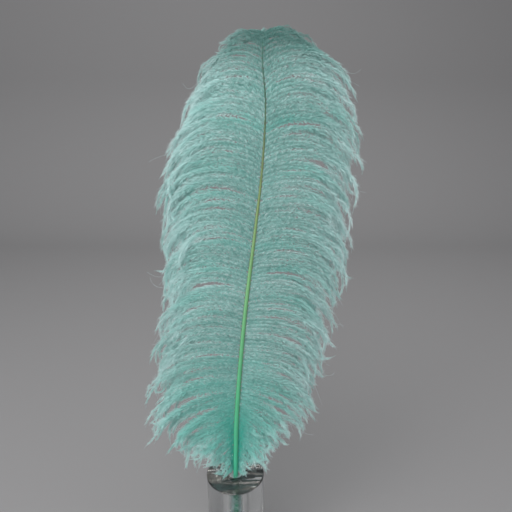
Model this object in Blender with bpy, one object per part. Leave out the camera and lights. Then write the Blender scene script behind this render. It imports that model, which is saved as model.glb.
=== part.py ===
"""A dyed ostrich plume standing in a heavy glass vase.

The vase is a clear glass cylinder with one round bore down its middle. The feather's
quill stands in that bore. A soft vane of long loose barbs grows from each side of the
shaft: the barbs leave it rising, arch over and hang. Metres, +Z up. The origin is the
centre of the vase's flat base, and the feather's smooth outer face looks along -Y.
"""

import math

import bmesh
import bpy
from mathutils import Vector

# --- the vase ---
VASE_R = 0.032
VASE_H = 0.130
VASE_EDGE = 0.0012  # width of the polished bevels round the base, the rim and the bore's mouth
BORE_R = 0.008
BORE_DEPTH = 0.100
BORE_END_ROUND = 0.003
VASE_SIDES = 96

# --- the feather's shaft ---
QUILL_LIFT = 0.0005  # clearance between the quill's cut end and the bore's floor
TIP_Z = 0.585  # height of the shaft's tip
STEM_H = TIP_Z - VASE_H  # height of the part that shows above the vase
# sideways place of the shaft by its share of the height above the vase: a slow S that leans to +X
STEM_X = (
    (0.0, 0.0004),
    (0.15, 0.0021),
    (0.31, 0.0072),
    (0.46, 0.0137),
    (0.62, 0.0226),
    (0.75, 0.0292),
    (0.87, 0.0318),
    (0.95, 0.0290),
    (1.0, 0.0296),
)
STEM_BEND = 0.050  # how far back the tip nods
STEM_BEND_POWER = 2.5  # nearly all of the nod is near the tip
# width of the shaft by the same share; below the vase's rim it is the round quill
STEM_WIDTH = (
    (0.0, 0.0056),
    (0.15, 0.0054),
    (0.33, 0.0045),
    (0.5, 0.0038),
    (0.65, 0.0027),
    (0.8, 0.0017),
    (1.0, 0.0009),
)
QUILL_END_SHARE = 0.72  # width of the quill's cut end, as a share of its full width
QUILL_TAPER = 0.030  # length over which the quill narrows to its cut end
GROOVE = 0.28  # depth of the furrow down the shaft's inner face, as a share of its half width
GROOVE_SPREAD = 0.55  # half width of that furrow round the shaft, in radians
STEM_SIDES = 16
STEM_RINGS = 44
QUILL_RINGS = 8

# --- the barbs, by the height share of the place on the shaft that they grow from ---
VANE_START = 0.036
VANE_END = 0.992
# angle from straight up, in degrees, at which a barb leaves the shaft, and at which its tip hangs
LEAVE_ANGLE = ((0.0, 100), (0.06, 97), (0.2, 82), (0.45, 68), (0.75, 56), (0.9, 46), (0.97, 36), (1.0, 25))
LAND_ANGLE = ((0.0, 160), (0.2, 166), (0.5, 168), (0.75, 165), (0.9, 156), (0.97, 140), (1.0, 115))
BARB_BOW = 1.25  # above 1, a barb bends more towards its tip
# barb length; the left barbs, at -X, are the longer ones low on the shaft
LEFT_LENGTH = (
    (0.0, 0.052),
    (0.05, 0.088),
    (0.1, 0.122),
    (0.2, 0.131),
    (0.3, 0.128),
    (0.6, 0.130),
    (0.75, 0.121),
    (0.85, 0.104),
    (0.93, 0.080),
    (1.0, 0.024),
)
RIGHT_LENGTH = (
    (0.0, 0.046),
    (0.05, 0.070),
    (0.12, 0.094),
    (0.25, 0.108),
    (0.4, 0.117),
    (0.6, 0.123),
    (0.75, 0.118),
    (0.87, 0.108),
    (0.94, 0.088),
    (1.0, 0.024),
)
SWEEP_ROOT = -8.0  # degrees forward of sideways that a barb leaves the shaft
SWEEP_TIP = 48.0  # degrees back of sideways that its tip points
VANE_ROOT_GAP = 0.0006  # clearance between the shaft's side and the soft vane
VANE_ROOT_THICK = 0.0016
VANE_MID_THICK = 0.0064
VANE_TIP_THICK = 0.0016
VANE_ROWS = 34
VANE_STEPS = 9
BARB_SAMPLES = 4  # finer steps in each vane step, for working out a barb's curve


def clear_scene():
    for thing in list(bpy.data.objects):
        bpy.data.objects.remove(thing, do_unlink=True)


def material(name, color, roughness, alpha=1.0, transmission=0.0):
    """A plain Principled material."""
    made = bpy.data.materials.new(name)
    made.use_nodes = True
    shader = made.node_tree.nodes["Principled BSDF"]
    shader.inputs["Base Color"].default_value = (*color, 1.0)
    shader.inputs["Roughness"].default_value = roughness
    shader.inputs["Metallic"].default_value = 0.0
    shader.inputs["Alpha"].default_value = alpha
    shader.inputs["Transmission Weight"].default_value = transmission
    return made


def add_object(name, mesh_data, finish):
    """Turns a bmesh into a smooth-shaded object of one material."""
    bmesh.ops.recalc_face_normals(mesh_data, faces=mesh_data.faces)
    mesh = bpy.data.meshes.new(name)
    mesh_data.to_mesh(mesh)
    mesh_data.free()
    mesh.shade_smooth()
    mesh.set_sharp_from_angle(angle=math.radians(35))
    mesh.materials.append(finish)
    made = bpy.data.objects.new(name, mesh)
    bpy.context.collection.objects.link(made)
    return made


def blend_through(pairs, place):
    """The value at a place on a smooth curve through (place, value) pairs."""
    last = len(pairs) - 1
    low = 0
    while low < last - 1 and place > pairs[low + 1][0]:
        low += 1

    def slope(index):
        before = pairs[max(index - 1, 0)]
        after = pairs[min(index + 1, last)]
        return (after[1] - before[1]) / (after[0] - before[0])

    (x0, y0), (x1, y1) = pairs[low], pairs[low + 1]
    span = x1 - x0
    s = min(max((place - x0) / span, 0.0), 1.0)
    rise = (3 - 2 * s) * s * s
    leave = s * (1 - s) ** 2 * span * slope(low)
    arrive = s * s * (s - 1) * span * slope(low + 1)
    return y0 + (y1 - y0) * rise + leave + arrive


def stem_point(share):
    """The middle of the shaft at a share of its height above the vase."""
    return Vector((
        blend_through(STEM_X, share),
        STEM_BEND * max(share, 0.0) ** STEM_BEND_POWER,
        VASE_H + STEM_H * share,
    ))


def stem_direction(share):
    """The shaft's own upward direction there."""
    step = 0.002
    return (stem_point(min(share + step, 1.0)) - stem_point(max(share - step, 0.0))).normalized()


def arc(centre, radius, start, end, steps):
    """Points in a plane, round part of a circle, angles in degrees."""
    points = []
    for i in range(steps + 1):
        angle = math.radians(start + (end - start) * i / steps)
        points.append((centre[0] + radius * math.cos(angle), centre[1] + radius * math.sin(angle)))
    return points


def add_vase(finish):
    """A turned cylinder with a blind bore; the profile runs from the base's middle to the bore's floor."""
    floor_z = VASE_H - BORE_DEPTH
    profile = [(0.0, 0.0)]
    profile += [(VASE_R - VASE_EDGE, 0.0), (VASE_R, VASE_EDGE)]
    profile += [(VASE_R, VASE_H - VASE_EDGE), (VASE_R - VASE_EDGE, VASE_H)]
    profile += [(BORE_R + VASE_EDGE / 2, VASE_H), (BORE_R, VASE_H - VASE_EDGE / 2)]
    profile += arc((BORE_R - BORE_END_ROUND, floor_z + BORE_END_ROUND), BORE_END_ROUND, 0, -90, 4)
    profile += [(0.0, floor_z)]
    mesh_data = bmesh.new()
    corners = [mesh_data.verts.new((x, 0.0, z)) for x, z in profile]
    edges = [mesh_data.edges.new(pair) for pair in zip(corners, corners[1:])]
    bmesh.ops.spin(
        mesh_data,
        geom=corners + edges,
        cent=(0, 0, 0),
        axis=(0, 0, 1),
        angle=2 * math.pi,
        steps=VASE_SIDES,
    )
    bmesh.ops.remove_doubles(mesh_data, verts=mesh_data.verts, dist=0.00001)
    return add_object("vase", mesh_data, finish)


def stem_ring(centre, along, width):
    """One closed ring of points round the shaft, furrowed on its inner (+Y) face."""
    side = Vector((1, 0, 0))
    side = (side - along * side.dot(along)).normalized()
    back = along.cross(side)
    furrow = GROOVE * min(1.0, max(0.0, (centre.z - VASE_H) / (0.1 * STEM_H)))
    points = []
    for i in range(STEM_SIDES):
        angle = 2 * math.pi * i / STEM_SIDES
        off_back = (angle - math.pi / 2 + math.pi) % (2 * math.pi) - math.pi
        radius = width / 2 * (1 - furrow * math.exp(-((off_back / GROOVE_SPREAD) ** 2)))
        points.append(centre + side * radius * math.cos(angle) + back * radius * math.sin(angle))
    return points


def add_shaft(finish):
    """The quill, straight in the bore, and the long tapering shaft above it, in one skin."""
    bottom = VASE_H - BORE_DEPTH + QUILL_LIFT
    full = STEM_WIDTH[0][1]
    foot_x = STEM_X[0][1]
    rings = []
    for i in range(QUILL_RINGS):
        height = bottom + (VASE_H - bottom) * (i / QUILL_RINGS) ** 1.6
        taper = min(1.0, (height - bottom) / QUILL_TAPER)
        width = full * (QUILL_END_SHARE + (1 - QUILL_END_SHARE) * math.sin(taper * math.pi / 2))
        rings.append(stem_ring(Vector((foot_x, 0, height)), Vector((0, 0, 1)), width))
    for i in range(STEM_RINGS + 1):
        share = i / STEM_RINGS
        along = stem_direction(share) if i else Vector((0, 0, 1))
        rings.append(stem_ring(stem_point(share), along, blend_through(STEM_WIDTH, share)))
    mesh_data = bmesh.new()
    loops = [[mesh_data.verts.new(p) for p in ring] for ring in rings]
    for lower, upper in zip(loops, loops[1:]):
        for i in range(STEM_SIDES):
            j = (i + 1) % STEM_SIDES
            mesh_data.faces.new((lower[i], lower[j], upper[j], upper[i]))
    mesh_data.faces.new(list(reversed(loops[0])))
    mesh_data.faces.new(loops[-1])
    return add_object("shaft", mesh_data, finish)


def barb_line(share, side, lengths):
    """A barb's middle line: it leaves the shaft rising, arches over, sweeps back and hangs.

    side is -1 at the left (-X) and 1 at the right. The list holds VANE_STEPS + 1 points.
    """
    along = stem_direction(share)
    leave = blend_through(LEAVE_ANGLE, share)
    land = blend_through(LAND_ANGLE, share)
    count = VANE_STEPS * BARB_SAMPLES
    stride = blend_through(lengths, share) / count
    point = stem_point(share)
    line = [point.copy()]
    for i in range(count):
        s = (i + 0.5) / count
        tilt = math.radians(leave + (land - leave) * s**BARB_BOW)
        sweep = math.radians(SWEEP_ROOT + (SWEEP_TIP - SWEEP_ROOT) * s)
        up = (along * (1 - s) + Vector((0, 0, 1)) * s).normalized()
        across = Vector((1, 0, 0))
        across = (across - up * across.dot(up)).normalized()
        back = up.cross(across)
        outward = across * side * math.cos(sweep) + back * math.sin(sweep)
        point = point + (up * math.cos(tilt) + outward * math.sin(tilt)) * stride
        if (i + 1) % BARB_SAMPLES == 0:
            line.append(point.copy())
    return line


def vane_thickness(s):
    """Thin beside the shaft, fluffy in the middle, thin again at the barb tips."""
    ends = VANE_ROOT_THICK + (VANE_TIP_THICK - VANE_ROOT_THICK) * s
    return ends + (VANE_MID_THICK - ends) * math.sin(math.pi * s) ** 0.8


def add_vane(name, side, lengths, finish):
    """One closed soft body over all the barbs of one side, from beside the shaft to their tips."""
    rows = []
    for r in range(VANE_ROWS + 1):
        share = VANE_START + (VANE_END - VANE_START) * r / VANE_ROWS
        line = barb_line(share, side, lengths)
        clear = blend_through(STEM_WIDTH, share) / 2 + VANE_ROOT_GAP
        first = (line[1] - line[0]).normalized()
        shift = clear / max(abs(first.x), 0.3)
        line[0] = line[0] + first * shift
        rows.append(line)
    mesh_data = bmesh.new()
    front = []
    rear = []
    for r, line in enumerate(rows):
        lower = rows[max(r - 1, 0)]
        upper = rows[min(r + 1, VANE_ROWS)]
        front_row = []
        rear_row = []
        for k, point in enumerate(line):
            outward = line[min(k + 1, VANE_STEPS)] - line[max(k - 1, 0)]
            upward = upper[k] - lower[k]
            normal = outward.cross(upward).normalized() * side
            half = normal * vane_thickness(k / VANE_STEPS) / 2
            front_row.append(mesh_data.verts.new(point + half))
            rear_row.append(mesh_data.verts.new(point - half))
        front.append(front_row)
        rear.append(rear_row)

    def skin(a, b, c, d):
        mesh_data.faces.new((a, b, c))
        mesh_data.faces.new((a, c, d))

    for r in range(VANE_ROWS):
        for k in range(VANE_STEPS):
            skin(front[r][k], front[r][k + 1], front[r + 1][k + 1], front[r + 1][k])
            skin(rear[r][k], rear[r + 1][k], rear[r + 1][k + 1], rear[r][k + 1])
        skin(front[r][0], front[r + 1][0], rear[r + 1][0], rear[r][0])
        last = VANE_STEPS
        skin(front[r][last], rear[r][last], rear[r + 1][last], front[r + 1][last])
    for k in range(VANE_STEPS):
        skin(front[0][k], rear[0][k], rear[0][k + 1], front[0][k + 1])
        top = VANE_ROWS
        skin(front[top][k], front[top][k + 1], rear[top][k + 1], rear[top][k])
    return add_object(name, mesh_data, finish)


def main():
    clear_scene()
    glass = material("clear_glass", (0.90, 0.94, 0.93), 0.02, alpha=0.35, transmission=1.0)
    horn = material("green_shaft", (0.16, 0.52, 0.20), 0.38)
    down = material("mint_barbs", (0.36, 0.68, 0.58), 0.85)
    add_vase(glass)
    add_shaft(horn)
    add_vane("vane_left", -1, LEFT_LENGTH, down)
    add_vane("vane_right", 1, RIGHT_LENGTH, down)


main()
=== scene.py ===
# %% [markdown]
# # A dyed ostrich plume in its glass vase
#
# An ostrich feather has no hooks on its barbules, so its barbs never zip together into a
# flat blade. Each barb is a soft thread with long fluff on both sides. The threads leave
# the shaft rising, arch over and hang, and neighbours cling together in loose locks.
#
# The lesson loads the solid model of the vase and the feather, and then grows every barb
# and its fluff as real mesh, with NumPy, because hair curves and particles would be lost
# when the model is exported.

# %% Load the solid model
import math

import bpy
import numpy as np
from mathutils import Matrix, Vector


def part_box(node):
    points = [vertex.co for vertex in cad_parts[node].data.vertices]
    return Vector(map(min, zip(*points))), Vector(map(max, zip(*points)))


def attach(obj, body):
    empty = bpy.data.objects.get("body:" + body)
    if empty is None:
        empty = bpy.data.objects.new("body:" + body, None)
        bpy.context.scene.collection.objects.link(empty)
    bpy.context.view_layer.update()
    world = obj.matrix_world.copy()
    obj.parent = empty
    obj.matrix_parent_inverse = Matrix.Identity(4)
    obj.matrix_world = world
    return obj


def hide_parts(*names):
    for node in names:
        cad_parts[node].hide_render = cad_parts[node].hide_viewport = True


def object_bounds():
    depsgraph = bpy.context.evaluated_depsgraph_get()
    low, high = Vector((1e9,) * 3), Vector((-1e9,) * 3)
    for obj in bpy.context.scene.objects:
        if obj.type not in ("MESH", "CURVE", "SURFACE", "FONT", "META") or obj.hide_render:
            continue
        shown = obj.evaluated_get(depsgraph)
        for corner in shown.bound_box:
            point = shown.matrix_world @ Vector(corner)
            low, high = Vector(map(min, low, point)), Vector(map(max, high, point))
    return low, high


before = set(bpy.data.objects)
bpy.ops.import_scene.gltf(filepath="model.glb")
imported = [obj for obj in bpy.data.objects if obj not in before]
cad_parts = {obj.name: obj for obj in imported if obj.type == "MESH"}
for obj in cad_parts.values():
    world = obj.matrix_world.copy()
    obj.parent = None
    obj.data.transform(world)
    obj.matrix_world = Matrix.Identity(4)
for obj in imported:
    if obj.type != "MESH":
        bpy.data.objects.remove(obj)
cad_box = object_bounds()
print("solid model, lowest and highest corner:", cad_box[0][:], cad_box[1][:])

# %% [markdown]
# ## Sizes that the solids give
#
# Nothing is measured twice. The vase's rim and the two ends of the shaft are read from the
# solid model, so that the soft parts grow from the right places. The bore is a quarter as
# wide as the vase.

# %% Places read from the solids
_, vase_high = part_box("vase")
shaft_low, shaft_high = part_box("shaft")
RIM_Z = vase_high.z
VASE_R = vase_high.x
TIP_Z = shaft_high.z
STEM_H = TIP_Z - RIM_Z
BORE_R = VASE_R / 4
QUILL_END_Z = shaft_low.z
print(f"rim at {RIM_Z:.3f} m, shaft tip at {TIP_Z:.3f} m")

# %% [markdown]
# ## A smooth curve through a few chosen values
#
# Much of a feather changes slowly from its foot to its tip: the angle of its barbs, their
# length, the width of the shaft. A few (place, value) pairs say how, and a cubic curve
# joins them. Blender's own curve objects could do it too, but a function works on
# thousands of barbs at once.

# %% The curve helper


def blend_through(pairs, place):
    """Values at an array of places, on a smooth curve through (place, value) pairs."""
    table = np.array(pairs, float)
    x, y = table[:, 0], table[:, 1]
    slope = np.empty_like(y)
    slope[1:-1] = (y[2:] - y[:-2]) / (x[2:] - x[:-2])
    slope[0] = (y[1] - y[0]) / (x[1] - x[0])
    slope[-1] = (y[-1] - y[-2]) / (x[-1] - x[-2])
    place = np.asarray(place, float)
    i = np.clip(np.searchsorted(x, place, side="right") - 1, 0, len(x) - 2)
    span = x[i + 1] - x[i]
    s = np.clip((place - x[i]) / span, 0, 1)
    rise = (3 - 2 * s) * s * s
    leave = s * (1 - s) ** 2 * span * slope[i]
    arrive = s * s * (s - 1) * span * slope[i + 1]
    return y[i] + (y[i + 1] - y[i]) * rise + leave + arrive


def smooth_step(low, high, value):
    """0 below low, 1 above high, and an easy rise between."""
    s = np.clip((value - low) / (high - low), 0, 1)
    return s * s * (3 - 2 * s)


def unit(vectors):
    """Vectors of length one."""
    return vectors / np.maximum(np.linalg.norm(vectors, axis=-1, keepdims=True), 1e-12)


hill = ((0.0, 0.0), (0.5, 1.0), (1.0, 0.0))
print("a curve through 0, 1 and 0, in four steps:", blend_through(hill, np.linspace(0, 1, 5)))

# %% [markdown]
# ## The camera
#
# The camera stands 45 centimetres in front, a little below the plume's top, and looks down
# by about twenty degrees. That is why the vase's top shows as a wide oval. The lens is as
# long as the film is wide, which takes in the whole plume from so near.

# %% Camera
CAMERA_PLACE = (0.0232, -0.45, RIM_Z + 0.433)
CAMERA_DOWN = 21.0  # degrees below level
CAMERA_LENS = 36.0  # millimetres, and the film's width too
camera_data = bpy.data.cameras.new("camera")
camera_data.lens = CAMERA_LENS
camera_data.sensor_width = CAMERA_LENS
camera_data.clip_start = 0.01
camera = bpy.data.objects.new("camera", camera_data)
camera.location = CAMERA_PLACE
camera.rotation_euler = (math.radians(90 - CAMERA_DOWN), 0, 0)
bpy.context.scene.collection.objects.link(camera)
bpy.context.scene.camera = camera
print(f"camera {CAMERA_PLACE[2]:.3f} m high, looking {CAMERA_DOWN:.0f} degrees down")

# %% [markdown]
# ## Floor and backdrop
#
# A studio sweep is one sheet that runs along the table and curves up into a wall, so no
# corner shows. A plane and a bent plane could be joined by hand, but one list of points
# across the sheet and a loop round its bend make it in one piece.

# %% The sweep


def plain_material(name, color, roughness):
    """A Principled material, with its node tree and its shader node."""
    made = bpy.data.materials.new(name)
    made.use_nodes = True
    shader = made.node_tree.nodes["Principled BSDF"]
    shader.inputs["Base Color"].default_value = (*color, 1.0)
    shader.inputs["Roughness"].default_value = roughness
    return made, made.node_tree, shader


SWEEP_HALF_WIDTH = 7.0
SWEEP_FRONT_Y = -3.0
SWEEP_BEND_Y = 1.1
SWEEP_BEND_R = 0.5
SWEEP_BEND_STEPS = 16
SWEEP_TOP_Z = 3.2
SWEEP_GAP = 0.0002  # below the vase's base, so that the two faces don't flicker
SWEEP_PAPER = (0.205, 0.203, 0.205)

sweep_line = [(SWEEP_FRONT_Y, 0.0), (SWEEP_BEND_Y, 0.0)]
for step in range(1, SWEEP_BEND_STEPS + 1):
    turn = math.pi / 2 * step / SWEEP_BEND_STEPS
    along_y = SWEEP_BEND_Y + SWEEP_BEND_R * math.sin(turn)
    sweep_line.append((along_y, SWEEP_BEND_R * (1 - math.cos(turn))))
sweep_line.append((SWEEP_BEND_Y + SWEEP_BEND_R, SWEEP_TOP_Z))
sweep_edges = (-SWEEP_HALF_WIDTH, SWEEP_HALF_WIDTH)
sweep_verts = [(x, y, z - SWEEP_GAP) for y, z in sweep_line for x in sweep_edges]
sweep_faces = [(2 * i, 2 * i + 1, 2 * i + 3, 2 * i + 2) for i in range(len(sweep_line) - 1)]
sweep_mesh = bpy.data.meshes.new("sweep")
sweep_mesh.from_pydata(sweep_verts, [], sweep_faces)
sweep_mesh.shade_smooth()
sweep = bpy.data.objects.new("sweep", sweep_mesh)
bpy.context.scene.collection.objects.link(sweep)
sweep_finish, _, _ = plain_material("sweep_paper", SWEEP_PAPER, 0.9)
sweep_mesh.materials.append(sweep_finish)
print(f"sweep: {len(sweep_faces)} faces, {2 * SWEEP_HALF_WIDTH:.0f} m wide")

# %% [markdown]
# ## The light
#
# The light is large and soft: one big panel above and in front, a weaker one from each side
# and one from behind, and a pale grey world that fills the shadows. Lamps would give hard
# shadows, and single barbs in them would turn black.

# %% The lights
PLUME_MIDDLE = (0.01, 0.02, 0.36)
PANELS = (  # name, place, width and height in metres, power in watts
    ("panel_above", (-0.4, -0.85, 1.6), 1.3, 1.1, 26),
    ("panel_left", (-1.3, -0.9, 0.5), 0.9, 1.0, 13),
    ("panel_right", (1.3, -0.8, 0.6), 0.9, 1.0, 5),
    ("panel_back", (0.3, 0.95, 1.5), 0.9, 0.6, 8),
)
WORLD_GREY = (0.44, 0.44, 0.45)
WORLD_STRENGTH = 1.18


def soft_panel(name, place, width, height, power):
    """One rectangular area light turned towards the middle of the plume."""
    data = bpy.data.lights.new(name, "AREA")
    data.shape = "RECTANGLE"
    data.size = width
    data.size_y = height
    data.energy = power
    made = bpy.data.objects.new(name, data)
    made.location = place
    aim = Vector(PLUME_MIDDLE) - Vector(place)
    made.rotation_euler = aim.to_track_quat("-Z", "Y").to_euler()
    bpy.context.scene.collection.objects.link(made)
    print(f"{name}: {width} x {height} m, {power} W")


for panel in PANELS:
    soft_panel(*panel)

world = bpy.data.worlds.new("studio")
world.use_nodes = True
world.node_tree.nodes["Background"].inputs["Color"].default_value = (*WORLD_GREY, 1)
world.node_tree.nodes["Background"].inputs["Strength"].default_value = WORLD_STRENGTH
bpy.context.scene.world = world
bpy.context.scene.view_settings.view_transform = "Standard"

# %% [markdown]
# ## The shaft's line
#
# The shaft leans a little to the right in a slow S and nods back at its tip. The same
# line placed the solid shaft, so the barbs start on its sides.

# %% Stem line and width
STEM_X = (
    (0.0, 0.0004),
    (0.15, 0.0021),
    (0.31, 0.0072),
    (0.46, 0.0137),
    (0.62, 0.0226),
    (0.75, 0.0292),
    (0.87, 0.0318),
    (0.95, 0.0290),
    (1.0, 0.0296),
)
STEM_BEND = 0.050
STEM_BEND_POWER = 2.5
STEM_WIDTH = (
    (0.0, 0.0056),
    (0.15, 0.0054),
    (0.33, 0.0045),
    (0.5, 0.0038),
    (0.65, 0.0027),
    (0.8, 0.0017),
    (1.0, 0.0009),
)


def stem_points(share):
    """Points on the shaft's middle line, by their share of the height above the rim."""
    share = np.asarray(share, float)
    back = STEM_BEND * np.clip(share, 0, None) ** STEM_BEND_POWER
    return np.stack([blend_through(STEM_X, share), back, RIM_Z + STEM_H * share], -1)


def stem_directions(share):
    """The shaft's upward direction at those shares."""
    step = 0.002
    return unit(stem_points(np.minimum(share + step, 1)) - stem_points(np.maximum(share - step, 0)))


print("the shaft at its foot, its middle and its tip:")
print(stem_points([0.0, 0.5, 1.0]).round(4))

# %% [markdown]
# ## One barb's line
#
# A barb's tilt from straight up grows along it, from its leaving angle to its hanging
# angle, while it sweeps from sideways to backwards. Adding up many short steps in that
# direction gives its line. It is worked out for a whole array of barbs in one go. The
# tables say how the angles, in degrees, and the lengths, in metres, change up the shaft.

# %% Angles and lengths of the barbs
LEAVE_ANGLE = (
    (0.0, 150),
    (0.05, 138),
    (0.1, 126),
    (0.17, 110),
    (0.26, 92),
    (0.45, 70),
    (0.75, 58),
    (0.9, 51),
    (0.97, 47),
    (1.0, 43),
)
LAND_ANGLE = (
    (0.0, 142),
    (0.1, 144),
    (0.2, 160),
    (0.5, 176),
    (0.75, 173),
    (0.9, 163),
    (0.97, 152),
    (1.0, 138),
)
BARB_BOW = ((0.0, 1.0), (0.3, 1.1), (0.8, 1.05), (0.93, 0.9), (1.0, 0.75))
SWEEP_ROOT = ((0.0, -42), (0.1, -22), (0.25, -8), (1.0, -8))
SWEEP_TIP = ((0.0, -25), (0.1, 0), (0.25, 40), (1.0, 46))
LEFT_LENGTH = (
    (0.0, 0.014),
    (0.05, 0.026),
    (0.1, 0.042),
    (0.17, 0.080),
    (0.24, 0.119),
    (0.35, 0.117),
    (0.48, 0.112),
    (0.6, 0.121),
    (0.75, 0.121),
    (0.85, 0.107),
    (0.93, 0.082),
    (1.0, 0.026),
)
RIGHT_LENGTH = (
    (0.0, 0.014),
    (0.05, 0.020),
    (0.12, 0.046),
    (0.18, 0.067),
    (0.26, 0.098),
    (0.4, 0.115),
    (0.6, 0.117),
    (0.75, 0.113),
    (0.87, 0.107),
    (0.94, 0.098),
    (1.0, 0.050),
)
LENGTHS = {-1: LEFT_LENGTH, 1: RIGHT_LENGTH}  # side -1 is the left one
for side, lengths in LENGTHS.items():
    print(f"side {side}: barbs up to {max(length for _, length in lengths) * 1000:.0f} mm long")

# %% Barb lines
BARB_STEPS = 24
ROOT_OFFSET = 0.42  # from the shaft's middle line, as a share of its width
HOOK_START = 0.78  # share of a barb's length where its end starts to hook


def barb_lines(share, side, leave_off, land_off, sweep_off, length_factor, hook=0.0):
    """Lines of BARB_STEPS + 1 points, one for each barb; offsets and end hooks are in degrees."""
    s = (np.arange(BARB_STEPS) + 0.5)[None, :] / BARB_STEPS
    leave = (blend_through(LEAVE_ANGLE, share) + leave_off)[:, None]
    land = (blend_through(LAND_ANGLE, share) + land_off)[:, None]
    bow = blend_through(BARB_BOW, share)[:, None]
    tilt = leave + (land - leave) * s**bow
    tilt = np.radians(tilt + np.reshape(hook, (-1, 1)) * smooth_step(HOOK_START, 1.0, s))
    sweep_root = blend_through(SWEEP_ROOT, share)[:, None]
    sweep_tip = (blend_through(SWEEP_TIP, share) + sweep_off)[:, None]
    sweep = np.radians(sweep_root + (sweep_tip - sweep_root) * s)
    s3 = s[..., None]
    up = unit(stem_directions(share)[:, None, :] * (1 - s3) + np.array([0, 0, 1.0]) * s3)
    across = np.array([1.0, 0, 0])
    across = unit(across - up * (up @ across)[..., None])
    back = np.cross(up, across)
    outward = side * across * np.cos(sweep)[..., None] + back * np.sin(sweep)[..., None]
    heading = up * np.cos(tilt)[..., None] + outward * np.sin(tilt)[..., None]
    stride = (blend_through(LENGTHS[side], share) * length_factor / BARB_STEPS)[:, None, None]
    line = np.cumsum(heading * stride, axis=1)
    line = np.concatenate([np.zeros((len(share), 1, 3)), line], axis=1)
    root = stem_points(share)[:, None, :]
    root[..., 0] += side * blend_through(STEM_WIDTH, share)[:, None] * ROOT_OFFSET
    return line + root


middle_barb = barb_lines(np.array([0.5]), -1, 0, 0, 0, 1)[0]
print("a left barb halfway up ends at", middle_barb[-1].round(3))

# %% [markdown]
# ## Room for the barbs
#
# The loose ends of a plume go where they like, but here they have two limits. They stay
# within a centimetre or so of the solids' box, so that the plume keeps its stated size,
# and they lie on the vase's rim instead of sinking into the glass. A line that is too long
# is drawn in as a whole, because cutting its end off would leave it blunt.

# %% Limits for the barbs
RIM_CLEARANCE = 0.002
TUFT_CLEARANCE = 0.0003
RIM_LIFT_START, RIM_LIFT_WHOLE = 0.006, 0.001  # metres outside the rim
BARB_SPARE = 0.008
HAIR_SPARE = 0.011


def within_reach(lines, spare):
    """Shortens any line that would leave the solids' box by more than the spare length."""
    root = lines[:, :1]
    reach = lines - root
    room_high = (np.array(cad_box[1]) + spare - root[:, 0]) / np.maximum(reach.max(1), 1e-6)
    room_low = (np.array(cad_box[0]) - spare - root[:, 0]) / np.minimum(reach.min(1), -1e-6)
    scale = np.minimum(1, np.minimum(room_high, room_low).min(1))
    return root + reach * scale[:, None, None]


def keep_off_vase(lines, clearance=RIM_CLEARANCE):
    """Lifts what would sink into the vase, so that it lies on the rim or clears its side."""
    raised = lines.copy()
    away = np.linalg.norm(lines[..., :2], axis=-1)
    over = smooth_step(VASE_R + RIM_LIFT_START, VASE_R + RIM_LIFT_WHOLE, away)
    floor = (RIM_Z + clearance) * over
    raised[..., 2] = np.maximum(lines[..., 2], floor)
    return raised


print(f"above the rim, barbs keep {RIM_CLEARANCE * 1000} mm and fluff {TUFT_CLEARANCE * 1000} mm")

# %% [markdown]
# ## Rows and locks
#
# The barbs of this plume stand in rows about four millimetres apart, three barbs to a row,
# and neighbouring rows cling together in loose locks. All the barbs of a lock take on a
# common line by some amount, so that thin arcs open between the locks halfway out. Low
# down, the locks draw in to shaggy points; high up, their ends spread again.

# %% Locks
ROWS_A_SIDE = 104
BARBS_A_ROW = 3
ROW_SPREAD = 0.42  # share of a row's height that its barbs' roots take up
LOCKS_A_SIDE = 56
LOCK_GROWTH = (0.3, 1.35)  # width of the lowest and of the highest locks
VANE_START = 0.012
VANE_END = 0.999
LOCK_DRIFT_REACH = 2
LOCK_VARIES = {  # drift between neighbours, each lock's own, and what low locks add
    "leave": (1.2, 0.7, 2.0),
    "land": (3.0, 2.0, 5.0),
    "sweep": (0.0, 3.5, 13.0),
    "length": (0.02, 0.015, 0.12),
}


def lock_of(share, rng):
    """Which lock each barb belongs to, and the middle of that lock, with uneven locks."""
    widths = rng.uniform(0.4, 1.6, LOCKS_A_SIDE) * np.linspace(*LOCK_GROWTH, LOCKS_A_SIDE)
    edges = np.concatenate([[0], np.cumsum(widths) / widths.sum()])
    edges = VANE_START + (VANE_END - VANE_START) * edges
    index = np.clip(np.searchsorted(edges, share, side="right") - 1, 0, LOCKS_A_SIDE - 1)
    return index, (edges[index] + edges[index + 1]) / 2


def drifting(rng, count, size, reach):
    """Random values that drift slowly from one lock to the next, reach locks at a time."""
    kernel = np.exp(-0.5 * (np.arange(-3 * reach, 3 * reach + 1) / reach) ** 2)
    raw = np.convolve(rng.normal(0, 1, count + 6 * reach), kernel, mode="valid")
    return raw / raw.std() * size


def lock_values(low, index, rng):
    """How each barb's lock differs: degrees of leave, land and sweep, and a length factor."""
    values = {}
    for name, (drift, own, _) in LOCK_VARIES.items():
        value = np.full(LOCKS_A_SIDE, 1.0 if name == "length" else 0.0)
        if drift:
            value = value + drifting(rng, LOCKS_A_SIDE, drift, LOCK_DRIFT_REACH)
        values[name] = (value + rng.normal(0, own, LOCKS_A_SIDE))[index]
    for name, (_, _, extra) in LOCK_VARIES.items():
        added = low * rng.normal(0, extra, LOCKS_A_SIDE)[index]
        values[name] = values[name] * (1 + added) if name == "length" else values[name] + added
    return values


print(f"each side: {ROWS_A_SIDE} rows, {ROWS_A_SIDE * BARBS_A_ROW} barbs, {LOCKS_A_SIDE} locks")

# %% [markdown]
# ## Waves and one side's barbs
#
# Real barbs are never smooth arcs, so a few soft waves are added to each line. Then a
# side's barbs are put together: each has its own line and a share in its lock's line, and
# how much it clings to the lock changes along it. The lowest barbs vary and wave the most.

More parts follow.
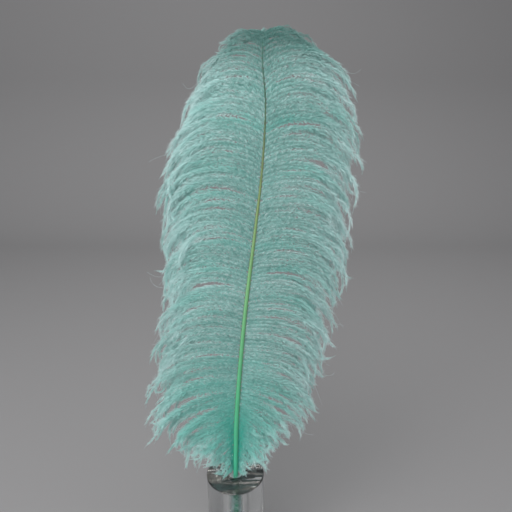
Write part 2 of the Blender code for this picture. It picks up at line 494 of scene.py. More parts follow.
# %% One side's barbs
BARB_VARIES = {"leave": 1.6, "land": 5, "sweep": 8, "hook": 30}  # degrees, for single barbs
ROW_VARIES = 0.8  # degrees of leave, for whole rows
PULL_MOST = 0.27  # share of a lock's common line that its barbs take on halfway out
BARB_WAVE = 0.0018
BARB_TURNS = 1.4
LOW_REGION = (0.34, 0.08)  # shares up the shaft where the shaggy low barbs begin and are full
SHORT_BELOW = 0.15  # share up the shaft below which short barbs wave less


def waver(lines, rng, size, grain, power=1.4):
    """Adds a soft random waviness to lines, nothing at the root and most at the tip."""
    count, points, _ = lines.shape
    s = np.linspace(0, 1, points)[None, :, None]
    moved = lines.copy()
    for wave in range(1, 4):
        phase = rng.uniform(0, 2 * np.pi, (count, 1, 3))
        turns = grain * wave * rng.uniform(0.7, 1.3, (count, 1, 1))
        push = rng.normal(0, size / wave**2, (count, 1, 3))
        moved += push * np.sin(2 * np.pi * turns * s + phase) * s**power
    return moved


def side_barbs(side, seed):
    """All the barb lines of one side, gathered into rows and locks, with shares and locks."""
    rng = np.random.default_rng(seed)
    count = ROWS_A_SIDE * BARBS_A_ROW
    row = np.repeat(np.arange(ROWS_A_SIDE), BARBS_A_ROW)
    place = np.tile((np.arange(BARBS_A_ROW) + 0.5) / BARBS_A_ROW - 0.5, ROWS_A_SIDE)
    row_start = row + 0.5 + rng.uniform(-0.12, 0.12, ROWS_A_SIDE)[row]
    share = (row_start + place * ROW_SPREAD + rng.normal(0, 0.03, count)) / ROWS_A_SIDE
    share = np.clip(VANE_START + (VANE_END - VANE_START) * share, VANE_START, VANE_END)
    index, middle = lock_of(share, rng)
    low = smooth_step(*LOW_REGION, share)
    lock = lock_values(low, index, rng)
    row_leave = rng.normal(0, ROW_VARIES, ROWS_A_SIDE)[row]
    own = barb_lines(
        share,
        side,
        lock["leave"] + row_leave + rng.normal(0, BARB_VARIES["leave"], count) * (1 + 4 * low),
        lock["land"] + rng.normal(0, BARB_VARIES["land"], count),
        lock["sweep"] + rng.normal(0, BARB_VARIES["sweep"], count) * (1 + 1.2 * low),
        lock["length"] * np.clip(rng.normal(0.97, 0.10, count), 0.65, 1.12),
        rng.normal(0, BARB_VARIES["hook"], count),
    )
    common = barb_lines(middle, side, lock["leave"], lock["land"], lock["sweep"], lock["length"])
    s = np.linspace(0, 1, BARB_STEPS + 1)[None, :, None]
    fan = (place * (1 - ROW_SPREAD) / ROWS_A_SIDE * STEM_H)[:, None, None]
    own = own + fan * smooth_step(0.3, 0.65, s) * np.array([0, 0, 1.0])
    pull = rng.uniform(0.0, PULL_MOST, LOCKS_A_SIDE)[index] * (1 - 0.6 * low)
    pull = np.clip(pull + rng.normal(0, 0.05, count), 0, 0.5)[:, None, None]
    low = low[:, None, None]
    cling = smooth_step(0.05, 0.35, s) * pull * (1 - 0.85 * (1 - low) * smooth_step(0.5, 0.8, s))
    cling = cling + low * smooth_step(0.45, 1.0, s) * (0.5 - cling)
    lines = own * (1 - cling) + common * cling
    short = np.clip(share / SHORT_BELOW, 0.3, 1)[:, None, None]
    lines = waver(lines, rng, BARB_WAVE * (1 + 1.8 * low) * short, BARB_TURNS)
    return keep_off_vase(within_reach(lines, BARB_SPARE)), share, index


# %% [markdown]
# ## The crown and stray hairs
#
# Two sides of barbs leave a parting at the very tip, and a real plume closes over it: short
# barbs fan out from the last centimetre of the shaft, from straight up to sideways. Here
# and there a barb without fluff strays out of the outline. A few are placed one by one.

# %% Crown and strays
CROWN_A_SIDE = 40
CROWN_SHARE = (0.978, 0.997)
CROWN_LEAVE, CROWN_LAND, CROWN_SWEEP = -93, -105, 60  # degrees added at the parting
CROWN_WAVE = 0.0007
STRAYS_A_SIDE = 64
STRAY_WAVE = 0.0035
STRAY_PLACES = {  # share up the shaft, degrees off the hanging angle, length factor
    -1: (
        (0.735, -58, 0.98),
        (0.53, -72, 0.92),
        (0.46, -48, 1.05),
        (0.43, -36, 1.08),
        (0.245, -22, 0.95),
    ),
    1: ((0.60, -30, 1.0), (0.33, -34, 1.0)),
}


def crown_barbs(side, rng):
    """A fan of barbs round the tip: spread 0 starts across it and is short, 1 starts sideways."""
    share = np.sort(rng.uniform(*CROWN_SHARE, CROWN_A_SIDE))
    spread = np.linspace(0, 1, CROWN_A_SIDE)
    rng.shuffle(spread)
    lines = barb_lines(
        share,
        side,
        CROWN_LEAVE * (1 - spread) + rng.uniform(-6, 6, CROWN_A_SIDE),
        CROWN_LAND * (1 - spread) + rng.uniform(-10, 10, CROWN_A_SIDE),
        CROWN_SWEEP * (1 - spread) + rng.uniform(-15, 15, CROWN_A_SIDE),
        (0.10 + 0.55 * spread**2) * rng.uniform(0.85, 1.15, CROWN_A_SIDE),
    )
    return waver(lines, rng, CROWN_WAVE, 1.5), share


def stray_hairs(side, rng):
    """Bare barbs that stray from the rest, and the few that are placed one by one."""
    share = rng.uniform(0.03, 0.985, STRAYS_A_SIDE)
    land = rng.uniform(-22, 8, STRAYS_A_SIDE)
    length = rng.uniform(0.88, 1.08, STRAYS_A_SIDE)
    placed = np.array(STRAY_PLACES[side])
    share = np.concatenate([share, placed[:, 0]])
    land = np.concatenate([land, placed[:, 1]])
    length = np.concatenate([length, placed[:, 2]])
    count = len(share)
    hook = rng.normal(0, 60, count)
    leave, sweep = rng.normal(0, 4, count), rng.normal(0, 14, count)
    lines = barb_lines(share, side, leave, land, sweep, length, hook)
    lines = within_reach(waver(lines, rng, STRAY_WAVE, 1.2, 2.0), HAIR_SPARE)
    return keep_off_vase(lines), share


# %% [markdown]
# ## From lines to mesh
#
# A barb is a very slim three-sided tube that tapers along its length. Each hair of fluff on
# it is a bent sliver: one corner at the barb, two halfway and one at its end, two triangles
# in all. A hair system would draw the same thing, but it isn't a mesh. Every corner carries
# four numbers for the colour: how far up the shaft it is, how far along the barb, a random
# one for its lock, and how far out it is on its hair of fluff.

# %% The gatherer
FACTS = ("up_shaft", "along_barb", "tone", "fluff_tip")
FLAT_EDGE = 0.001  # margin round the flat map


class Strands:
    """Gathers corners, triangles and their numbers, and makes one mesh of them."""

    def __init__(self):
        self.points, self.faces, self.facts, self.flat = [], [], [], []
        self.count = 0

    def add(self, points, faces, facts, flat):
        """points (n, 3), faces (m, 3) counted from 0, facts (n, 4), flat map places (n, 2)."""
        self.points.append(points.reshape(-1, 3))
        self.faces.append(faces.reshape(-1, 3) + self.count)
        self.facts.append(facts.reshape(-1, len(FACTS)))
        self.flat.append(flat.reshape(-1, 2))
        self.count += self.points[-1].shape[0]

    def build(self, name, finish):
        """One object of everything gathered, with its numbers and its flat map."""
        points = np.concatenate(self.points).astype(np.float32)
        faces = np.concatenate(self.faces).astype(np.int32)
        facts = np.concatenate(self.facts).astype(np.float32)
        flat = np.clip(np.concatenate(self.flat), FLAT_EDGE, 1 - FLAT_EDGE).astype(np.float32)
        mesh = bpy.data.meshes.new(name)
        mesh.vertices.add(len(points))
        mesh.vertices.foreach_set("co", points.ravel())
        mesh.loops.add(faces.size)
        mesh.loops.foreach_set("vertex_index", faces.ravel())
        mesh.polygons.add(len(faces))
        mesh.polygons.foreach_set("loop_start", np.arange(0, faces.size, 3, dtype=np.int32))
        mesh.update(calc_edges=True)
        for column, label in enumerate(FACTS):
            layer = mesh.attributes.new(label, "FLOAT", "POINT")
            layer.data.foreach_set("value", facts[:, column].copy())
        layer = mesh.uv_layers.new(name="OFBake")
        layer.data.foreach_set("uv", flat[faces.ravel()].ravel())
        mesh.materials.append(finish)
        mesh.shade_smooth()
        made = bpy.data.objects.new(name, mesh)
        bpy.context.scene.collection.objects.link(made)
        print(f"{name}: {len(faces)} triangles")
        return made


# %% Tubes
TUBE_SIDES = 3
STRIP_HALF = 0.04  # half the width of a tube's strip in the flat map, in rows


def line_frames(lines):
    """Tangent, side and face directions at every point of every line."""
    along = unit(np.gradient(lines, axis=1))
    helper = np.array([0.0, -1.0, 0.25])
    flank = unit(np.cross(along, helper))
    return along, flank, unit(np.cross(flank, along))


def add_tubes(strands, lines, root_width, tip_width, share, tone):
    """Three-sided tapering tubes along lines. Each has a strip of its own in the flat map."""
    count, points, _ = lines.shape
    along, flank, face = line_frames(lines)
    s = np.linspace(0, 1, points)[None, :, None]
    radius = (root_width + (tip_width - root_width) * s) / 2
    rings = []
    for corner in range(TUBE_SIDES):
        angle = 2 * np.pi * corner / TUBE_SIDES
        rings.append(lines + radius * (flank * math.cos(angle) + face * math.sin(angle)))
    verts = np.stack(rings, axis=2)
    ring = np.arange(count)[:, None, None] * points + np.arange(points - 1)[None, :, None]
    corners = np.arange(TUBE_SIDES)
    a = ring * TUBE_SIDES + corners
    b = ring * TUBE_SIDES + (corners + 1) % TUBE_SIDES
    up_a, up_b = a + TUBE_SIDES, b + TUBE_SIDES
    tris = np.stack([np.stack([a, b, up_b], -1), np.stack([a, up_b, up_a], -1)], axis=3)
    shape = (count, points, TUBE_SIDES)
    facts = np.zeros(shape + (len(FACTS),))
    facts[..., 0] = share[:, None, None]
    facts[..., 1] = s
    facts[..., 2] = tone[:, None, None]
    flat = np.zeros(shape + (2,))
    flat[..., 0] = s
    row = np.arange(count)[:, None, None] + 0.5
    flat[..., 1] = (row + np.linspace(-STRIP_HALF, STRIP_HALF, TUBE_SIDES)) / count
    strands.add(verts, tris, facts, flat)


# %% [markdown]
# ## Fluff on the barbs
#
# The barbules stand off both edges of a barb, pointing towards its tip, in small tufts like
# the points of a damp brush. Near the shaft the tufts are regular and tight, which draws a
# herringbone. Farther out they loosen, lengthen and lie closer to the barb, and at its end
# the barb is nearly a bare thread. The tables give values from a barb's root to its end.

# %% Sizes of the fluff
TUFT_STEP = 0.00240
TUFT_SLIVERS = 7
FLUFF_LENGTH = (
    (0.0, 0.0032),
    (0.06, 0.0035),
    (0.3, 0.0034),
    (0.5, 0.0046),
    (0.75, 0.0066),
    (1.0, 0.0030),
)
FLUFF_END = 0.93
FLUFF_WIDTH = ((0.0, 0.00030), (0.4, 0.00030), (0.7, 0.00025), (1.0, 0.00014))
TOP_FLUFF = 0.7
FOOT_FLUFF = 0.48
LOW_FLUFF = 1.35
FLUFF_ANGLE = ((0.0, 62), (0.3, 56), (0.5, 40), (0.75, 22), (1.0, 14))
TUFT_SPREAD = ((0.0, 0.10), (0.35, 0.25), (0.6, 1.2), (1.0, 2.0))
EDGE_LENGTH = {-1: 0.85, 1: 1.15}  # edge 1 is a barb's upper one
EDGE_ROLL = {-1: -0.25, 1: 0.2}


def fluff_by_height(share, s):
    """Longer fluff low down, most of all beside the shaft, and shorter at the foot and top."""
    low = 1 + smooth_step(0.38, 0.2, share) * (LOW_FLUFF - 1) * (1.3 - 1.7 * s)
    top = 1 + smooth_step(0.86, 0.97, share) * (TOP_FLUFF - 1)
    foot = 1 + smooth_step(0.16, 0.05, share) * (FOOT_FLUFF - 1)
    return low * top * foot


print(f"a tuft of {TUFT_SLIVERS} slivers every {TUFT_STEP * 1000:.1f} mm, on both edges")

# %% Fluff
SLIVER_SHARE = np.array([0, 0.5, 0.5, 1.0])  # how far out each of a sliver's corners is


def between_points(field, barb, spot):
    """Values of a field at spots between the points of each barb's line."""
    low = spot.astype(int)
    part = (spot - low)[:, None]
    return field[barb, low] * (1 - part) + field[barb, low + 1] * part


def sliver_map(s, barb, edge, lean, thick, barbs):
    """Places in the flat map: each barb has a row, with its upper fluff above the middle."""
    flat = np.zeros((len(s), 4, 2))
    flat[..., 0] = s[:, None] + lean[:, None] * SLIVER_SHARE
    flat[..., 0] += thick[:, None] * np.array([0, -1, 1, 0])
    rise = 0.46 * np.array([0.12, 0.5, 0.6, 1.0])
    flat[..., 1] = (barb[:, None] + 0.5 + edge * rise) / barbs
    return flat


def add_fluff(strands, lines, share, tone, side, rng, size=1.0):
    """Tufts of slivers down both edges of every line."""
    along, flank, face = line_frames(lines)
    flank = flank * -side
    lengths = np.linalg.norm(np.diff(lines, axis=1), axis=2).sum(1)
    points = lines.shape[1]
    tufts = np.maximum((lengths / TUFT_STEP).astype(int), 4)
    for edge in (-1, 1):
        tuft_barb = np.repeat(np.arange(len(lines)), tufts)
        order = np.arange(len(tuft_barb)) - np.repeat(np.cumsum(tufts) - tufts, tufts)
        tuft_s = (order + 0.5 + rng.uniform(-0.25, 0.25, len(tuft_barb))) / tufts[tuft_barb] * FLUFF_END
        loose = smooth_step(0.1, 0.7, tuft_s)
        tuft_roll = rng.normal(0, 1, len(tuft_barb)) * (0.15 + 0.5 * loose) + EDGE_ROLL[edge]
        tuft_angle = blend_through(FLUFF_ANGLE, tuft_s) + rng.normal(0, 6, len(tuft_barb))
        tuft_length = blend_through(FLUFF_LENGTH, tuft_s) * EDGE_LENGTH[edge] * size
        tuft_length = tuft_length * fluff_by_height(share[tuft_barb], tuft_s)
        tuft_length = tuft_length * np.clip(rng.normal(1, 0.16, len(tuft_barb)), 0.5, 1.5)
        tuft_tone = tone[tuft_barb] + rng.normal(0, 0.19, len(tuft_barb)) * (1 - 0.7 * loose)
        tuft_bend = rng.normal(0, 0.22, (len(tuft_barb), 3))
        pick = np.repeat(np.arange(len(tuft_barb)), TUFT_SLIVERS)
        rank = np.tile(np.linspace(-0.5, 0.5, TUFT_SLIVERS), len(tuft_barb))
        total = len(pick)
        rank = rank + rng.normal(0, 0.08, total)
        barb = tuft_barb[pick]
        s = np.clip(tuft_s[pick] + rank * 0.95 * TUFT_STEP / lengths[barb], 0.002, 0.998)
        spot = s * (points - 1)
        root = between_points(lines, barb, spot)
        ahead = unit(between_points(along, barb, spot))
        out = unit(between_points(flank, barb, spot)) * edge
        front = unit(between_points(face, barb, spot))
        roll = tuft_roll[pick] + rng.normal(0, 0.10, total)
        away = out * np.cos(roll)[:, None] + front * np.sin(roll)[:, None]
        angle = np.radians(tuft_angle[pick] + rng.normal(0, 1, total) * (2 + 9 * loose[pick]))
        heading = ahead * np.cos(angle)[:, None] + away * np.sin(angle)[:, None]
        length = tuft_length[pick] * rng.uniform(0.75, 1.1, total)
        gather = ahead * (rank * (blend_through(TUFT_SPREAD, s) - 0.95) * TUFT_STEP)[:, None]
        bend = unit(ahead + tuft_bend[pick] + np.array([0, 0, -0.3]))
        end = root + heading * (length * 0.85)[:, None] + bend * (length * 0.3)[:, None] + gather
        middle = root + heading * (length * 0.5)[:, None] + gather * 0.4
        tilted = front + rng.normal(0, 0.3, (total, 3))
        width = blend_through(FLUFF_WIDTH, s) * rng.uniform(0.7, 1.3, total)
        half = unit(np.cross(heading, tilted)) * (width / 2)[:, None]
        verts = np.stack([root, middle - half, middle + half, end], axis=1)
        verts = keep_off_vase(verts, TUFT_CLEARANCE)
        tris = np.arange(total)[:, None, None] * 4 + np.array([[0, 1, 2], [1, 3, 2]])[None]
        facts = np.zeros((total, 4, len(FACTS)))
        facts[..., 0] = share[barb][:, None]
        facts[..., 1] = s[:, None]
        facts[..., 2] = np.clip(tuft_tone[pick] + rng.normal(0, 0.06, total), 0, 1)[:, None]
        facts[..., 3] = SLIVER_SHARE
        lean, thick = length / lengths[barb] * 0.7, width / lengths[barb]
        strands.add(verts, tris, facts, sliver_map(s, barb, edge, lean, thick, len(lines)))


# %% [markdown]
# ## Streaks
#
# Three finishes here are streaked: the dye varies along the barbs, fine lines run up the
# shaft, and the glass's top is rippled from side to side. All three are one noise pulled
# long in one direction, so it is built once as a node group, and each material gives it a
# stretch and limits of its own. The group gives out only a mask.

# %% Streak group


def streak_group():
    """A group that stretches a noise into streaks and gives them as a mask."""
    group = bpy.data.node_groups.new("streaks", "ShaderNodeTree")
    group.interface.new_socket("Vector", in_out="INPUT", socket_type="NodeSocketVector")
    group.interface.new_socket("Stretch", in_out="INPUT", socket_type="NodeSocketVector")
    for label, value in (("Detail", 3.0), ("Distortion", 0.0), ("Low", 0.0), ("High", 1.0)):
        socket = group.interface.new_socket(label, in_out="INPUT", socket_type="NodeSocketFloat")
        socket.default_value = value
    group.interface.new_socket("Mask", in_out="OUTPUT", socket_type="NodeSocketFloat")
    given, result = group.nodes.new("NodeGroupInput"), group.nodes.new("NodeGroupOutput")
    stretched = group.nodes.new("ShaderNodeVectorMath")
    stretched.operation = "MULTIPLY"
    noise = group.nodes.new("ShaderNodeTexNoise")
    noise.inputs["Scale"].default_value = 1.0
    cut = group.nodes.new("ShaderNodeMapRange")
    wire = group.links.new
    wire(given.outputs["Vector"], stretched.inputs[0])
    wire(given.outputs["Stretch"], stretched.inputs[1])
    wire(stretched.outputs[0], noise.inputs["Vector"])
    wire(given.outputs["Detail"], noise.inputs["Detail"])
    wire(given.outputs["Distortion"], noise.inputs["Distortion"])
    wire(noise.outputs["Fac"], cut.inputs["Value"])
    wire(given.outputs["Low"], cut.inputs["From Min"])
    wire(given.outputs["High"], cut.inputs["From Max"])
    wire(cut.outputs["Result"], result.inputs["Mask"])
    return group


STREAKS = streak_group()


def streaks(tree, vector, stretch, low=0.0, high=1.0, detail=3.0, distortion=0.0):
    """Places the streak group in a material with its own values, and gives its mask."""
    node = tree.nodes.new("ShaderNodeGroup")
    node.node_tree = STREAKS
    tree.links.new(vector, node.inputs["Vector"])
    values = {"Stretch": stretch, "Low": low, "High": high, "Detail": detail, "Distortion": distortion}
    for label, value in values.items():
        node.inputs[label].default_value = value
    return node.outputs["Mask"]


print("streak group:", [socket.name for socket in STREAKS.interface.items_tree])

# %% [markdown]
# ## Helpers for the materials
#
# A material is a tree of nodes. They could be placed by hand in the shader editor, but
# short helpers that place one node, wire it and give its output read almost like a sum.

# %% Node helpers


def attribute(tree, name):
    """One of the numbers that the mesh carries at its corners."""
    node = tree.nodes.new("ShaderNodeAttribute")
    node.attribute_name = name
    return node.outputs["Fac"]


def color_ramp(tree, factor, stops):
    """Colours at chosen places, with even blends between."""
    node = tree.nodes.new("ShaderNodeValToRGB")
    ramp = node.color_ramp
    while len(ramp.elements) < len(stops):
        ramp.elements.new(0.5)
    for element, (place, color) in zip(ramp.elements, stops):
        element.position = place
        element.color = (*color, 1)
    tree.links.new(factor, node.inputs["Fac"])
    return node.outputs["Color"]


def math_node(tree, operation, a, b, clamp=False):
    """One step of arithmetic on two values, each a number or another node's output."""
    node = tree.nodes.new("ShaderNodeMath")
    node.operation = operation
    node.use_clamp = clamp
    for socket, value in zip(node.inputs, (a, b)):
        if isinstance(value, (int, float)):
            socket.default_value = value
        else:
            tree.links.new(value, socket)
    return node.outputs[0]


def object_place(tree):
    """The object's own coordinates, whole and split into X, Y and Z."""
    where = tree.nodes.new("ShaderNodeTexCoord")
    split = tree.nodes.new("ShaderNodeSeparateXYZ")
    tree.links.new(where.outputs["Object"], split.inputs[0])
    return where.outputs["Object"], split.outputs


def smooth_mask(tree, value, low, high):
    """0 where value is at low, 1 where it is at high, and an easy rise between."""
    node = tree.nodes.new("ShaderNodeMapRange")
    node.interpolation_type = "SMOOTHSTEP"
    node.inputs["From Min"].default_value = low
    node.inputs["From Max"].default_value = high
    tree.links.new(value, node.inputs["Value"])
    return node.outputs["Result"]


def mix_color(tree, factor, below, above, blend="MIX"):
    """One colour laid over another by a mask."""
    node = tree.nodes.new("ShaderNodeMix")
    node.data_type = "RGBA"
    node.blend_type = blend
    node.clamp_factor = True
    for socket, value in zip((node.inputs[0], node.inputs[6], node.inputs[7]), (factor, below, above)):
        if isinstance(value, tuple):
            socket.default_value = (*value, 1)
        else:
            tree.links.new(value, socket)
    return node.outputs[2]


print("the numbers a mesh gives to its material:", FACTS)

# %% [markdown]
# ## Mint dye, with painted light and painted shade
#
# A dyed feather isn't one colour. The dye lies deeper where the fluff is dense beside the
# shaft, and varies from lock to lock. Towards the barb tips the colour goes paler and greyer,
# which is painted light on the bright outer fringe, and each hair of fluff is paler at its end
# than at its root, a painted highlight on the ends and painted shade at the roots. It is a
# strong green at the foot, and dark at the crown, which is painted shade. The corners' numbers
# and the streaks add up to a place on a ramp from deep to pale mint. Thin fluff also lets
# light through, which a plain shader can't do, so half of it is a translucent one.

# %% Mint material
MINT_STOPS = (
    (0.0, (0.12, 0.33, 0.30)),
    (0.33, (0.30, 0.55, 0.515)),
    (0.66, (0.50, 0.71, 0.69)),
    (1.0, (0.72, 0.85, 0.85)),
)
TEAL = (0.13, 0.60, 0.52)
EMERALD = (0.0, 0.48, 0.37)
# painted shade: the dark teal of the crown, where the plume's top turns back from the light
CROWN_SHADE_TEAL = (0.10, 0.25, 0.225)
SHINE_THROUGH = 0.5  # share of the light that passes through a barb
PALE_START = 0.26  # place on the ramp, and what each thing adds to it
# painted light: paler towards the barb tips, for the bright outer fringe
PAINTED_LIGHT_OUTWARD = 0.37
PALE_STREAKS = 0.24
PALE_LOCKS = 0.7
# painted highlight on the fluff's ends and painted shade at its roots
PAINTED_LIGHT_FLUFF_ENDS = 0.30
TEAL_STREAKS = 0.34  # how much of its colour each patch takes on
TEAL_FOOT = 0.52
EMERALD_FOOT = 0.85
CROWN_PAINTED_SHADE = 0.85
FOOT_HEIGHT = (0.38, 0.12)  # shares up the shaft where a patch starts and is whole
EMERALD_HEIGHT = (0.26, 0.06)
CROWN_SHADE_HEIGHT = (0.90, 0.995)
BESIDE_SHAFT = (0.30, 0.02)  # the same, as shares along a barb
WAVE_STRETCH = (3.0, 45.0, 1.0)
TEAL_STRETCH = (1.2, 30.0, 1.0)


def mint_color(tree):
    """Deep, middle and pale mint, laid out along each barb and up the plume, with painted light towards
    the barb and fluff ends and painted shade at the crown.
    """
    barb, shaft = attribute(tree, "along_barb"), attribute(tree, "up_shaft")
    where = tree.nodes.new("ShaderNodeCombineXYZ")
    tree.links.new(barb, where.inputs["X"])
    tree.links.new(shaft, where.inputs["Y"])
    where = where.outputs[0]
    # painted light: each barb's colour goes paler along it towards its tip
    outward = math_node(tree, "MULTIPLY", smooth_mask(tree, barb, 0.1, 0.85), PAINTED_LIGHT_OUTWARD)
    wave = math_node(tree, "SUBTRACT", streaks(tree, where, WAVE_STRETCH), 0.5)
    wave = math_node(tree, "MULTIPLY", wave, PALE_STREAKS)
    own = math_node(tree, "SUBTRACT", attribute(tree, "tone"), 0.5)
    own = math_node(tree, "MULTIPLY", own, PALE_LOCKS)
    # painted highlight: each hair of fluff is paler at its end than at its root
    ends = math_node(tree, "MULTIPLY", attribute(tree, "fluff_tip"), PAINTED_LIGHT_FLUFF_ENDS)
    place = math_node(tree, "ADD", outward, wave)
    place = math_node(tree, "ADD", place, math_node(tree, "ADD", own, ends))
    color = color_ramp(tree, math_node(tree, "ADD", place, PALE_START), MINT_STOPS)
    teal = streaks(tree, where, TEAL_STRETCH, 0.52, 0.72)
    color = mix_color(tree, math_node(tree, "MULTIPLY", teal, TEAL_STREAKS), color, TEAL)
    foot = math_node(tree, "MULTIPLY", smooth_mask(tree, shaft, *FOOT_HEIGHT), TEAL_FOOT)
    foot = math_node(tree, "MULTIPLY", foot, smooth_mask(tree, barb, 1.0, 0.45))
    color = mix_color(tree, foot, color, TEAL)
    beside = smooth_mask(tree, barb, *BESIDE_SHAFT)
    emerald = math_node(tree, "MULTIPLY", beside, smooth_mask(tree, shaft, *EMERALD_HEIGHT))
    emerald = math_node(tree, "MULTIPLY", emerald, EMERALD_FOOT)
    color = mix_color(tree, emerald, color, EMERALD)
    # painted shade: the crown darkens to dark teal, most on the inner part of its barbs
    crown = math_node(tree, "MULTIPLY", smooth_mask(tree, shaft, *CROWN_SHADE_HEIGHT), CROWN_PAINTED_SHADE)
    crown = math_node(tree, "MULTIPLY", crown, smooth_mask(tree, barb, 1.3, 0.45))
    return mix_color(tree, crown, color, CROWN_SHADE_TEAL)


def mint_material(name):
    """Soft barbs: a rough sheen on the lit side, and light that comes through from behind."""
    made, tree, shader = plain_material(name, TEAL, 0.75)
    color = mint_color(tree)
    tree.links.new(color, shader.inputs["Base Color"])
    shader.inputs["Specular IOR Level"].default_value = 0.25
    shader.inputs["Sheen Weight"].default_value = 0.2
    shader.inputs["Sheen Roughness"].default_value = 0.5
    through = tree.nodes.new("ShaderNodeBsdfTranslucent")
    tree.links.new(color, through.inputs["Color"])
    both = tree.nodes.new("ShaderNodeMixShader")
    both.inputs[0].default_value = SHINE_THROUGH
    tree.links.new(shader.outputs[0], both.inputs[1])
    tree.links.new(through.outputs[0], both.inputs[2])
    tree.links.new(both.outputs[0], tree.nodes["Material Output"].inputs["Surface"])
    return made


mint = mint_material("mint_barbs")
print(f"{mint.name}: {len(mint.node_tree.nodes)} nodes")

# %% [markdown]
# ## Growing the vanes
#
# Now every barb of both sides grows, with its fluff, the crown and the stray hairs. Each
# side is cut into three pieces by height, only to keep each mesh easy to handle: fewer
# than two hundred thousand triangles go into any one of them.

# %% The vanes
ZONES = ((0.0, 0.34, "low"), (0.34, 0.68, "middle"), (0.68, 1.01, "top"))
SIDE_NAMES = {-1: "left", 1: "right"}
LINE_SEEDS = {-1: 11, 1: 47}
FLUFF_SEEDS = {-1: 20, 1: 56}
BARB_WIDTHS = (0.00042, 0.00022)  # at the root and at the tip
HAIR_WIDTHS = (0.0003, 0.00012)
HAIR_TONE = 0.9
# painted shade: the crown's own barbs are set dark on the ramp
CROWN_SHADE_TONE = 0.2
CROWN_FLUFF = 0.5


def grow_side(side):
    """The barbs of one side: -1 is the left one and 1 the right one."""
    lines, share, index = side_barbs(side, LINE_SEEDS[side])
    rng = np.random.default_rng(FLUFF_SEEDS[side])
    tone = 0.5 + drifting(rng, LOCKS_A_SIDE, 0.04, 1)[index] + rng.normal(0, 0.07, len(index))
    hairs, hair_share = stray_hairs(side, rng)
    for low, high, label in ZONES:
        chosen = (share >= low) & (share < high)
        strands = Strands()
        add_tubes(strands, lines[chosen], *BARB_WIDTHS, share[chosen], tone[chosen])
        add_fluff(strands, lines[chosen], share[chosen], tone[chosen], side, rng)
        if label == "top":
            crown, crown_share = crown_barbs(side, rng)
            # painted shade: a dark tone for the barbs of the crown
            crown_shade_tone = np.full(CROWN_A_SIDE, CROWN_SHADE_TONE)
            add_tubes(strands, crown, *BARB_WIDTHS, crown_share, crown_shade_tone)
            add_fluff(strands, crown, crown_share, crown_shade_tone, side, rng, size=CROWN_FLUFF)
        near = (hair_share >= low) & (hair_share < high)
        hair_tone = np.full(near.sum(), HAIR_TONE)
        add_tubes(strands, hairs[near], *HAIR_WIDTHS, hair_share[near], hair_tone)
        piece = strands.build(f"{SIDE_NAMES[side]}_barbs_{label}", mint)
        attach(piece, "root")
        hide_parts("vane_left" if side < 0 else "vane_right")


for side in (-1, 1):
    grow_side(side)

# %% [markdown]
# ## The shaft
#
# The shaft is a smooth horny tube. The dye takes bright green at its thick foot, goes
# olive in the middle, where the natural brown shows through, and dark green at its tip.
# Fine darker lines run along it, and its flanks are darker than its face, because the
# fluff beside them keeps the light out. A ramp up its height gives the colours.

# %% Shaft material
SHAFT_STOPS = (
    (0.0, (0.05, 0.40, 0.24)),
    (0.25, (0.08, 0.37, 0.18)),
    (0.5, (0.14, 0.34, 0.14)),
    (0.66, (0.15, 0.23, 0.08)),
    (0.78, (0.09, 0.14, 0.05)),
    (0.88, (0.025, 0.09, 0.05)),
    (1.0, (0.02, 0.11, 0.08)),
)
LINE_STRETCH = (2600.0, 2600.0, 25.0)
LINE_SHADE = (0.45, 0.45, 0.45)
LINE_STRENGTH = 0.4
FLANK_SHADE = (0.35, 0.42, 0.40)
FLANK_STRENGTH = 0.8


def shaft_material():
    """Dye that changes up the shaft, with fine lines and darker flanks."""
    made, tree, shader = plain_material("green_shaft", (0.2, 0.5, 0.2), 0.4)
    place, parts = object_place(tree)
    height = math_node(tree, "SUBTRACT", parts["Z"], RIM_Z)
    height = math_node(tree, "DIVIDE", height, STEM_H, clamp=True)
    color = color_ramp(tree, height, SHAFT_STOPS)
    lines = streaks(tree, place, LINE_STRETCH, 0.45, 0.65)
    lines = math_node(tree, "MULTIPLY", lines, LINE_STRENGTH)
    color = mix_color(tree, lines, color, LINE_SHADE, "MULTIPLY")
    facing = tree.nodes.new("ShaderNodeTexCoord")
    sideways = tree.nodes.new("ShaderNodeSeparateXYZ")
    tree.links.new(facing.outputs["Normal"], sideways.inputs[0])
    flank = math_node(tree, "ABSOLUTE", sideways.outputs["X"], 0.0)
    flank = math_node(tree, "MULTIPLY", smooth_mask(tree, flank, 0.7, 1.0), FLANK_STRENGTH)
    color = mix_color(tree, flank, color, FLANK_SHADE, "MULTIPLY")
    tree.links.new(color, shader.inputs["Base Color"])
    return made


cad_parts["shaft"].data.materials.clear()
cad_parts["shaft"].data.materials.append(shaft_material())
print("shaft finish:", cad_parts["shaft"].data.materials[0].name)

# %% [markdown]
# ## The glass
#
# The vase is solid clear glass but for its bore. Plain transmission does it: a hint of
# grey, fully smooth, and with the refractive index of glass. Its flat top is ground and
# polished by hand, so it keeps long shallow ripples, and it looks banded, dark and beige,
# from a room mirrored in them. With no room here, the ripples are a bump made of the
# shared streaks, and the same streaks paint the bands into the top's colour: a painted
# reflection, dark and beige. Both fade out just below the rim.

# %% Glass
GLASS_TINT = (0.86, 0.88, 0.88)
GLASS_IOR = 1.5
RIPPLE_HEIGHT = 0.004
TOP_FADE = (0.002, 0.0005)  # metres below the rim where the top's ripples and painted reflection start and are whole
BAND_STRETCH = (9.0, 75.0, 0.0)
# painted reflection: dark and beige bands of a mirrored room, laid into the top's colour
REFLECTION_BAND_STOPS = (
    (0.0, (0.05, 0.12, 0.12)),
    (0.35, (0.20, 0.26, 0.25)),
    (0.5, (1.0, 0.94, 0.78)),
    (0.62, (0.60, 0.56, 0.50)),
    (0.8, (0.08, 0.12, 0.12)),
)


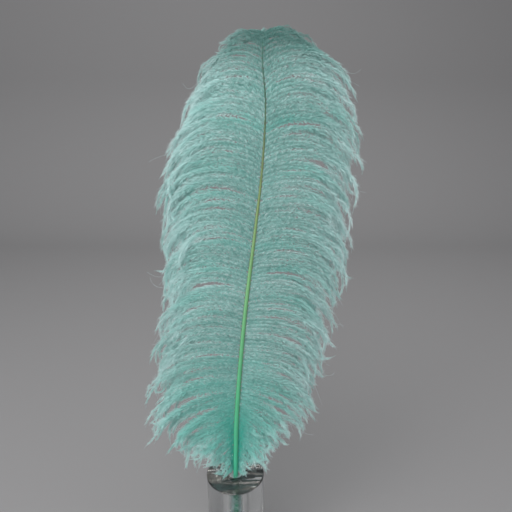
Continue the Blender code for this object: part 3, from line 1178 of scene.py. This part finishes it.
def glass_material():
    """Clear glass, with ripples and a painted reflection in bands on its top face."""
    made, tree, shader = plain_material("clear_glass", GLASS_TINT, 0.0)
    shader.inputs["Transmission Weight"].default_value = 1.0
    shader.inputs["IOR"].default_value = GLASS_IOR
    place, parts = object_place(tree)
    ripples = streaks(tree, place, BAND_STRETCH, detail=1.0, distortion=0.6)
    top = smooth_mask(tree, parts["Z"], RIM_Z - TOP_FADE[0], RIM_Z - TOP_FADE[1])
    # painted reflection: the banded colour of the rippled top
    painted_reflection = color_ramp(tree, streaks(tree, place, BAND_STRETCH, 0.33, 0.67, 1.0, 0.6), REFLECTION_BAND_STOPS)
    tree.links.new(mix_color(tree, top, GLASS_TINT, painted_reflection), shader.inputs["Base Color"])
    bump = tree.nodes.new("ShaderNodeBump")
    bump.inputs["Strength"].default_value = 1.0
    bump.inputs["Distance"].default_value = RIPPLE_HEIGHT
    tree.links.new(math_node(tree, "MULTIPLY", ripples, top), bump.inputs["Height"])
    tree.links.new(bump.outputs["Normal"], shader.inputs["Normal"])
    return made


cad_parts["vase"].data.materials.clear()
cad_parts["vase"].data.materials.append(glass_material())
print("vase finish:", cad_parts["vase"].data.materials[0].name)

# %% [markdown]
# ## Down in the bore
#
# The lowest, woolly down of the feather is pushed into the bore with the quill, and shows
# through the glass as a pale fuzzy column. Short threads leave the quill all round, curl
# about it and bend back before they reach the wall, so none of them enters the glass.

# %% Bore down
DOWN_SEED = 83
DOWN_THREADS = 420
DOWN_BOTTOM_Z = QUILL_END_Z + 0.012
DOWN_TOP_Z = RIM_Z - 0.002
DOWN_STEPS = 7
DOWN_WIDTHS = (0.00065, 0.00040)
DOWN_TONE = 1.2
DOWN_WALL_GAP = 0.0006
QUILL_R = STEM_WIDTH[0][1] / 2


def bore_down():
    """One mesh of all the threads of down round the quill."""
    rng = np.random.default_rng(DOWN_SEED)
    start_z = rng.uniform(DOWN_BOTTOM_Z, DOWN_TOP_Z, DOWN_THREADS)
    around = rng.uniform(0, 2 * np.pi, DOWN_THREADS)
    turn = rng.normal(0, 1.0, DOWN_THREADS)
    climb = rng.normal(0, 0.0035, DOWN_THREADS)
    reach = rng.uniform(0.55, 0.97, DOWN_THREADS) * (BORE_R - DOWN_WALL_GAP - QUILL_R)
    s = np.linspace(0, 1, DOWN_STEPS)[None, :]
    away = QUILL_R * 0.9 + reach[:, None] * np.sin(s * np.pi * 0.62)
    angle = around[:, None] + turn[:, None] * s
    x = stem_points(np.zeros(1))[0, 0] + away * np.cos(angle)
    y = away * np.sin(angle)
    z = np.clip(start_z[:, None] + climb[:, None] * s**1.5, DOWN_BOTTOM_Z - 0.004, DOWN_TOP_Z)
    lines = np.stack([x, y, z], axis=-1)
    strands = Strands()
    share, pale = rng.uniform(0.4, 0.8, DOWN_THREADS), np.full(DOWN_THREADS, DOWN_TONE)
    add_tubes(strands, lines, *DOWN_WIDTHS, share, pale)
    return strands.build("bore_down", mint)


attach(bore_down(), "root")
